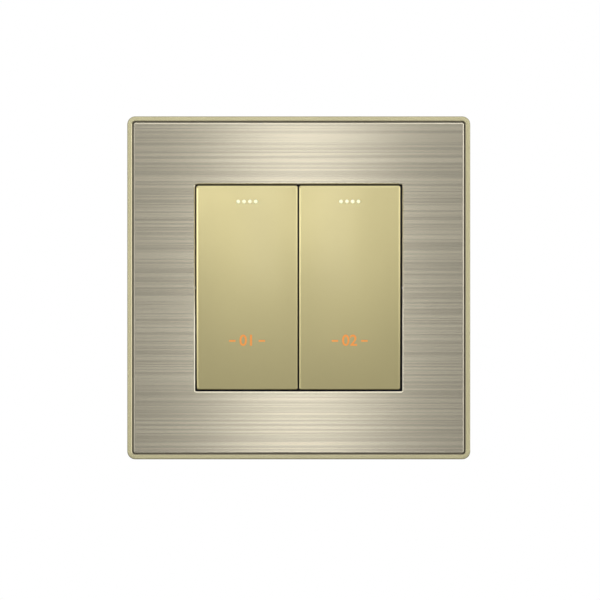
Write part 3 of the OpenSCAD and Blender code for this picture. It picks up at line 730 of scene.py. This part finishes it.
def frame_clips_and_ribs(collar, wall):
    """The four clips that hold the yoke, and thin ribs that stiffen the deck."""
    bm = bmesh.new()
    root = DECK_BACK - ROOT
    clip = [(-CLIP_HALF_T, root), (CLIP_HALF_T, root), (CLIP_HALF_T, CLIP_NOSE_Y),
            (CLIP_HOOK, CLIP_NOSE_Y), (CLIP_HOOK, CLIP_NOSE_Y + CLIP_LIP),
            (CLIP_HALF_T, CLIP_END_Y), (-CLIP_HALF_T, CLIP_END_Y)]
    for x in (-1, 1):
        for z in (-1, 1):
            points = [(x * (CLIP_X + a), y) for a, y in clip]
            add_prism(bm, points, z * CLIP_Z - CLIP_W / 2, z * CLIP_Z + CLIP_W / 2, 0.08)
    for along in RIB_PLACES:
        low, high = along - RIB_HALF_T, along + RIB_HALF_T
        for way in (-1, 1):
            near, far = sorted((way * (collar - ROOT), way * (wall + ROOT)))
            add_box(bm, (low, root, near), (high, COLLAR_BACK, far), 0.1)
            add_box(bm, (near, root, low), (far, COLLAR_BACK, high), 0.1)
    return bm


def make_face():
    """The brushed face, with bright bevels along its outline and its window."""
    outer, inner = FACE_HALF - FACE_R, WINDOW_HALF - FACE_R
    corners = [
        (FACE_HALF, FACE_BACK, outer, 0.05),
        (FACE_HALF, FACE_Y + FACE_BEVEL_D, outer, 0.0),
        (FACE_HALF - FACE_BEVEL, FACE_Y, outer, 0.0),
        (WINDOW_HALF + WINDOW_BEVEL, FACE_Y, inner, 0.0),
        (WINDOW_HALF, FACE_Y + WINDOW_BEVEL_D, inner, 0.0),
        (WINDOW_HALF, FACE_BACK, inner, 0.05),
    ]
    bm = bmesh.new()
    loft_round(bm, filleted(corners, 4))
    brush = bm.loops.layers.uv.new("brush")
    span = 100
    for face in bm.faces:
        for loop in face.loops:
            loop[brush].uv = (loop.vert.co.z / span + 0.5, loop.vert.co.x / span + 0.5)
    piece = new_piece("metal_face", bm, brushed_face, "front_plate", "brushed_face", "face_plate")
    piece.data.materials.append(bright_cut)
    straight_on, side_on = -0.995, -0.3
    for face in piece.data.polygons:
        face.material_index = int(straight_on < face.normal.y < side_on)
    smooth_shading(piece, 9)


make_frame()
make_face()
nodes["plate_adhesive"].data.materials.clear()
nodes["plate_adhesive"].data.materials.append(foam)


# The rockers

COLUMNS = 12
ROWS = 24


def side_heights():
    """Heights at which a rocker's side has points: its corner arcs and even steps between them."""
    arc = 8
    straight = ROCKER_HALF_H - ROCKER_R
    ends = [straight + ROCKER_R * math.sin(math.radians(90 * i / arc)) for i in range(arc + 1)]
    run = [straight * (2 * i / ROWS - 1) for i in range(1, ROWS)]
    return [-z for z in reversed(ends)] + run + ends


HEIGHTS = side_heights()


def bevel_depth(z):
    """How far a rocker's bevel falls back: more along the top, and less along the bottom."""
    share = max(0.0, abs(z) - (ROCKER_HALF_H - ROCKER_R)) / ROCKER_R
    end = TOP_BEVEL_D if z > 0 else LOW_BEVEL_D
    return ROCKER_BEVEL_D + (end - ROCKER_BEVEL_D) * share


def rocker_loop(bm, inset, r, depth=0.0, flat=None, low=None, bevel=0.0):
    """Points round a level rocker, inset from its sides, or by low at its lower end: up the left,
    across the top, down the right and back along the bottom. They lie a depth behind the face, and
    behind that a share of the bevel's own depth, or all at the depth flat."""
    half_w, half_h = ROCKER_HALF_W - inset, ROCKER_HALF_H - inset
    left = []
    for height in HEIGHTS:
        z = height * half_h / ROCKER_HALF_H
        over = max(0.0, abs(z) - (half_h - r))
        left.append((r - half_w - math.sqrt(max(0.0, r * r - over * over)), z))
    end_x = -left[-1][0]
    across = [(end_x * (2 * k / COLUMNS - 1), half_h) for k in range(1, COLUMNS)]
    half = left + across
    points = half + [(-x, -z) for x, z in half]
    if low is not None:
        share = (ROCKER_HALF_H - low) / half_h
        points = [(x, z * share if z < 0 else z) for x, z in points]
    if flat is not None:
        return [bm.verts.new((x, flat, z)) for x, z in points]
    return [bm.verts.new((x, crown(x, z) + depth + bevel * bevel_depth(z), z)) for x, z in points]


def bridge(bm, first, second):
    """Faces between two loops."""
    count = len(first)
    for i in range(count):
        j = (i + 1) % count
        bm.faces.new((first[i], first[j], second[j], second[i]))


def close_loop(bm, loop, depth):
    """Closes a loop with rows of faces that follow the rocker's face."""
    rows = len(HEIGHTS)
    half = len(loop) // 2
    left, top = loop[:rows], loop[rows:half]
    right, bottom = loop[half:half + rows], loop[half + rows:]
    grid = [[left[0]] + bottom[::-1] + [right[-1]]]
    for i in range(1, rows - 1):
        first, last = left[i], right[rows - 1 - i]
        row = [first]
        for k in range(1, COLUMNS):
            x, _, z = first.co.lerp(last.co, k / COLUMNS)
            row.append(bm.verts.new((x, crown(x, z) + depth, z)))
        grid.append(row + [last])
    grid.append([left[-1]] + top + [right[0]])
    for lower, upper in zip(grid, grid[1:]):
        for k in range(COLUMNS):
            bm.faces.new((lower[k], lower[k + 1], upper[k + 1], upper[k]))


def make_rocker(side, sign):
    """A rocker's shell: a soft bevel round its face, thin skirts and a hollow back, with the dots'
    holes and the two ribs that its cradle snaps between."""
    soft, edge, least_r, face_r = 0.1, 0.03, 0.3, 0.1
    bm = bmesh.new()
    roof = rocker_loop(bm, ROCKER_SKIN, least_r, depth=ROCKER_SKIN)
    chain = [roof]
    for inset in (ROCKER_SKIN, soft, 0.0):
        y = SKIRT_Y - (soft if inset == 0 else 0)
        chain.append(rocker_loop(bm, inset, max(ROCKER_R - inset, least_r), flat=y))
    chain.append(rocker_loop(bm, 0.0, ROCKER_R, depth=2 * edge, bevel=1.0))
    chain.append(rocker_loop(bm, edge, ROCKER_R - edge, bevel=1.0))
    chain.append(rocker_loop(bm, ROCKER_BEVEL, face_r, low=LOW_BEVEL))
    for first, second in zip(chain, chain[1:]):
        bridge(bm, first, second)
    close_loop(bm, chain[-1], 0.0)
    close_loop(bm, roof, ROCKER_SKIN)
    piece = new_piece(side + "_rocker_cap", to_rest(bm, sign), rocker_gold, side + "_rocker",
                      "rocker_gold", side + "_rocker_button")
    ribs, cuts = bmesh.new(), bmesh.new()
    front, back = CRADLE_RIB_Y
    for end in (-1, 1):
        low, high = sorted(end * z for z in CRADLE_RIB_Z)
        add_box(ribs, (-CRADLE_RIB_HALF_W, front, low), (CRADLE_RIB_HALF_W, back, high), 0.12)
    reshape(piece, to_rest(ribs, sign), "UNION")
    hole_r, cone_r, past = DOT_R - DOT_FIT, DOT_R + 1.02, 1
    for x in DOT_XS:
        mouth = crown(x, DOT_Z)
        hole = ((cone_r, mouth - past), (hole_r, mouth + DOT_SINK),
                (hole_r, mouth + ROCKER_SKIN + past))
        add_turned(cuts, hole, x, DOT_Z)
    reshape(piece, to_rest(cuts, sign), "DIFFERENCE")
    smooth_shading(piece, 12)


def make_dots(side, sign):
    """The light guide: a strip behind the face with four pins, their ends slightly domed."""
    bm = bmesh.new()
    margin, strip_t, clear = 1, 1, 0.02
    half_w, half_h = DOT_PITCH * 2 + margin, DOT_R + margin
    front = CROWN_Y + ROCKER_SKIN + fall(DOT_Z + half_h) + clear
    add_box(bm, (-half_w, front, DOT_Z - half_h), (half_w, front + strip_t, DOT_Z + half_h), 0.2, 3)
    piece = new_piece(side + "_light_guide", to_rest(bm, sign), dot_milk_glow, side + "_rocker",
                      "dot_white", side + "_dot_insert")
    pins = bmesh.new()
    r, dome, steps = DOT_R - 0.03, 0.09, 5
    for x in DOT_XS:
        tip = crown(x, DOT_Z) + 0.01
        profile = []
        for i in range(steps + 1):
            a = math.radians(8 + 82 * i / steps)
            profile.append((r * math.sin(a), tip + dome * (1 - math.cos(a))))
        add_turned(pins, profile + [(r, front + 0.2)], x, DOT_Z)
    reshape(piece, to_rest(pins, sign), "UNION")
    smooth_shading(piece, 40)


def raised_figures(text, size, weight, film):
    """Figures lying flat, as a bmesh: across is x, up is y, and the film lies about z = 0."""
    letters = bpy.data.curves.new("figures", "FONT")
    letters.body = text
    letters.size = size
    letters.offset = weight
    letters.align_x = "CENTER"
    letters.align_y = "CENTER"
    letters.extrude = film / 2
    source = placed("figures", letters)
    flat = worked_out(source)
    bpy.data.objects.remove(source)
    bm = bmesh.new()
    bm.from_mesh(flat)
    bmesh.ops.remove_doubles(bm, verts=bm.verts, dist=0.0001)
    return bm


def make_figures(side, sign, text):
    """A printed number between two short rules, a thin film of ink on the rocker's face."""
    bm = raised_figures(text, MARK_SIZE, MARK_WEIGHT, INK_FILM)
    for end in (-1, 1):
        low, high = sorted(end * x for x in RULE_X)
        add_box(bm, (low, -RULE_HALF_T, -INK_FILM / 2), (high, RULE_HALF_T, INK_FILM / 2))
    for vert in bm.verts:
        x, up, out = vert.co
        z = MARK_Z + up
        vert.co = (x, crown(x, z) - INK_FILM / 2 - out, z)
    new_piece(side + "_figures", to_rest(bm, sign), print_orange, side + "_rocker", "rocker_gold")


def make_bore_numbers(side, sign):
    """Printed numbers by the wire bores, read from behind."""
    back = max(v.co.y for v in nodes[side + "_module_base"].data.vertices) / MM
    for text, across, way in (("1", 0.0, 1), ("2", BORE_X, -1), ("3", -BORE_X, -1)):
        bm = raised_figures(text, BORE_NUMBER_SIZE, BORE_NUMBER_WEIGHT, BORE_FILM)
        for vert in bm.verts:
            x, up, out = vert.co
            vert.co = (sign * GANG_X + across - x, back + BORE_FILM / 2 + out,
                       way * BORE_NUMBER_Z + up)
        new_piece(side + "_bore_number_" + text, bm, print_grey, "switch_body", "ivory")


for side, sign in SIDES:
    make_rocker(side, sign)
    make_dots(side, sign)
make_figures("left", -1, "01")
make_figures("right", 1, "02")
for side, sign in SIDES:
    make_bore_numbers(side, sign)


# Springs and screws

def make_spring(side, sign):
    """A wound spring with one closed turn at each end."""
    turns, ring_sides, steps = 7, 10, 28
    closed = 2 * WIRE_R + 0.02
    pitch = (SPRING_Y[1] - SPRING_Y[0] - 2 * closed) / (turns - 2)
    bm = bmesh.new()
    rings = []
    for i in range(turns * steps + 1):
        turn = i / steps
        a = 2 * math.pi * turn
        y = SPRING_Y[0] + closed * min(turn, 1) + pitch * min(max(turn - 1, 0), turns - 2)
        y += closed * max(turn - turns + 1, 0)
        ring = []
        for k in range(ring_sides):
            b = 2 * math.pi * k / ring_sides
            r = SPRING_R + WIRE_R * math.cos(b)
            ring.append(bm.verts.new((r * math.cos(a), y + WIRE_R * math.sin(b), r * math.sin(a))))
        rings.append(ring)
    for first, second in zip(rings, rings[1:]):
        bridge(bm, first, second)
    bm.faces.new(rings[0])
    bm.faces.new(rings[-1])
    piece = new_piece(side + "_coil_spring", to_rest(bm, sign, 0), spring_steel, side + "_rocker",
                      "spring_steel", side + "_plunger_spring")
    smooth_shading(piece, 50)
    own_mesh(piece)


def thread_at(y, start, end):
    """The thread's radius at a depth, as a function of the angle: a ridge that winds round the
    core and runs out at both ends."""
    run_out = max(0.0, min(y - start, end - y, THREAD_PITCH)) / THREAD_PITCH

    def radius(a):
        phase = (y / THREAD_PITCH - a / (2 * math.pi)) % 1
        ridge = min(1.0, THREAD_FLAT * (1 - abs(2 * phase - 1)))
        return THREAD_ROOT_R + (THREAD_R - THREAD_ROOT_R) * ridge * run_out
    return radius


def make_box_screws():
    """Two pan-headed screws with a cross recess and a real thread."""
    start, end, step = 0.3, SCREW_END - 0.8, THREAD_PITCH / 10
    dome = ((2.1, 0.0), (2.7, 0.06), (3.2, 0.25), (3.55, 0.6), (3.75, 1.1), (HEAD_R, 1.5))
    soft, neck_r = 0.08, THREAD_ROOT_R + 0.13
    head = [(r, HEAD_Y + back) for r, back in dome]
    head += [(HEAD_R, YOKE_Y - soft), (HEAD_R - soft, YOKE_Y)]
    neck = [(neck_r, YOKE_Y), (neck_r, start - 0.2)]
    count = round((end - start) / step)
    depths = [start + i * step for i in range(count + 1)]
    thread = [(thread_at(y, start, end), y) for y in depths]
    tip = [(THREAD_ROOT_R - 0.1, end + 0.1), (THREAD_ROOT_R - 0.7, SCREW_END)]
    bm = bmesh.new()
    for sign in (-1, 1):
        add_turned(bm, head + neck + thread + tip, sign * BOX_SCREW_X, 0, 28)
    piece = new_piece("box_screws", bm, zinc_screw, "switch_body", "zinc_screw", "mounting_screws")
    for wide, tall in ((RECESS_LONG, RECESS_WIDE), (RECESS_WIDE, RECESS_LONG)):
        slot = bmesh.new()
        for sign in (-1, 1):
            add_recess_blade(slot, sign * BOX_SCREW_X, wide, tall)
        reshape(piece, slot, "DIFFERENCE")
    smooth_shading(piece, 40)


def add_recess_blade(bm, x, wide, tall):
    """One blade of a cross recess, narrowing inwards."""
    rings = []
    corners = ((-wide, -tall), (wide, -tall), (wide, tall), (-wide, tall))
    for y, share in ((HEAD_Y - 0.3, 1.08), (HEAD_Y + RECESS_D, 0.62)):
        rings.append([bm.verts.new((x + a * share, y, b * share)) for a, b in corners])
    bm.faces.new(rings[0])
    bm.faces.new(rings[1])
    bridge(bm, rings[0], rings[1])


for side, sign in SIDES:
    make_spring(side, sign)
make_box_screws()


# Pieces that keep the shape of their solid, with their edges broken

# The yoke is coloured black as painted shade in the gaps round the rockers.
eased("mounting_yoke", "yoke_sheet", "switch_body", "black_zinc", black_zinc, 0.25, 0.5)
GANG_PIECES = (
    ("cradle", "cradle_clip", "rocker", "nylon_dark", nylon, 0.12, 0.5),
    ("plunger", "plunger_pin", "plunger", "acetal", acetal, 0.05, 0.0),
    ("seesaw", "seesaw_strip", "seesaw", "copper", copper, 0.1, 0.3),
    ("moving_contacts", "moving_rivets", "seesaw", "silver", silver, 0.05, 0.0),
    ("fixed_contacts", "fixed_rivets", None, "silver", silver, 0.05, 0.0),
    ("common_terminal", "common_brass", None, "brass", brass, 0.12, 0.5),
    ("upper_terminal", "upper_brass", None, "brass", brass, 0.12, 0.5),
    ("lower_terminal", "lower_brass", None, "brass", brass, 0.12, 0.5),
    ("terminal_screws", "terminal_grubs", None, "zinc_screw", zinc_screw, 0.06, 0.0),
    # The covers are near black partly as painted shade for the gaps round the rockers.
    ("module_cover", "cover_moulding", None, "charcoal", charcoal, 0.2, 0.5),
    ("module_base", "base_moulding", None, "ivory", ivory, 0.25, 0.5),
)
for side, _ in SIDES:
    for node, name, body, slot, material, width, least in GANG_PIECES:
        carrier = side + "_" + body if body else "switch_body"
        eased(side + "_" + node, side + "_" + name, carrier, slot, material, width, least)


# Studio

def make_world():
    """Even grey light, and white wherever the background itself shows or is mirrored."""
    world = bpy.data.worlds.new("studio")
    bpy.context.scene.world = world
    world.use_nodes = True
    tree = world.node_tree
    shown = tree.nodes.new("ShaderNodeLightPath").outputs
    seen = math_node(tree, "MAXIMUM", shown["Is Camera Ray"], shown["Is Glossy Ray"])
    seen = math_node(tree, "MAXIMUM", seen, shown["Is Transmission Ray"])
    color = mixed(tree, seen, (0.5, 0.5, 0.5, 1.0), (1.0, 1.0, 1.0, 1.0))
    background = tree.nodes["Background"]
    tree.links.new(color, background.inputs["Color"])


def make_floor():
    """A plain pale floor, in metres."""
    bm = bmesh.new()
    half_w, front, back, level = 1.5, -2.4, 0.35, -0.14
    for x, y in ((-half_w, front), (half_w, front), (half_w, back), (-half_w, back)):
        bm.verts.new((x, y, level))
    bm.faces.new(bm.verts)
    mesh = bpy.data.meshes.new("floor")
    bm.to_mesh(mesh)
    bm.free()
    material, _, _ = finish("pale_floor", Roughness=0.9, Base_Color=(0.66, 0.66, 0.65, 1.0))
    mesh.materials.append(material)
    placed("floor", mesh)


def add_light(name, location, width, height, power):
    """A soft box that faces the switch."""
    lamp = bpy.data.lights.new(name, "AREA")
    lamp.shape = "RECTANGLE"
    lamp.size = width
    lamp.size_y = height
    lamp.energy = power
    light = placed(name, lamp)
    light.location = location
    light.rotation_euler = (Vector() - Vector(location)).to_track_quat("-Z", "Y").to_euler()


def make_camera():
    """The photo's view: straight on, with the picture this many metres across at the rim."""
    across, right, up = 0.1504, 0.00031, -0.00305
    camera = bpy.data.cameras.new("front")
    camera.lens = 200
    camera.sensor_width = 36
    camera.clip_start = 0.01
    shot = placed("front", camera)
    shot.location = (right, RIM_Y * MM - across * camera.lens / camera.sensor_width, up)
    shot.rotation_euler = (math.pi / 2, 0, 0)
    bpy.context.scene.camera = shot


# Name, place, width and height in metres, and power in watts
LIGHTS = (
    ("band_light", (0.0, -0.95, 0.003), 0.065, 0.2, 0.41),
    ("key_light", (-0.24, -0.93, 0.12), 0.16, 0.16, 0.85),
    ("fill_light", (0.24, -0.93, 0.1), 0.2, 0.2, 0.35),
    ("left_strip", (-0.625, -0.717, -0.09), 0.25, 0.6, 3.0),
    ("right_strip", (0.64, -0.7, 0.14), 0.5, 0.45, 2.6),
    ("top_strip", (0.0, -0.7, 0.64), 0.7, 0.6, 2.6),
    ("right_box", (0.95, -0.1, 0.0), 0.6, 0.6, 2.0),
    ("back_box", (0.3, 0.95, 0.45), 0.7, 0.7, 2.4),
)
make_world()
make_floor()
make_camera()
for light in LIGHTS:
    add_light(*light)
bpy.context.scene.view_settings.view_transform = "Standard"
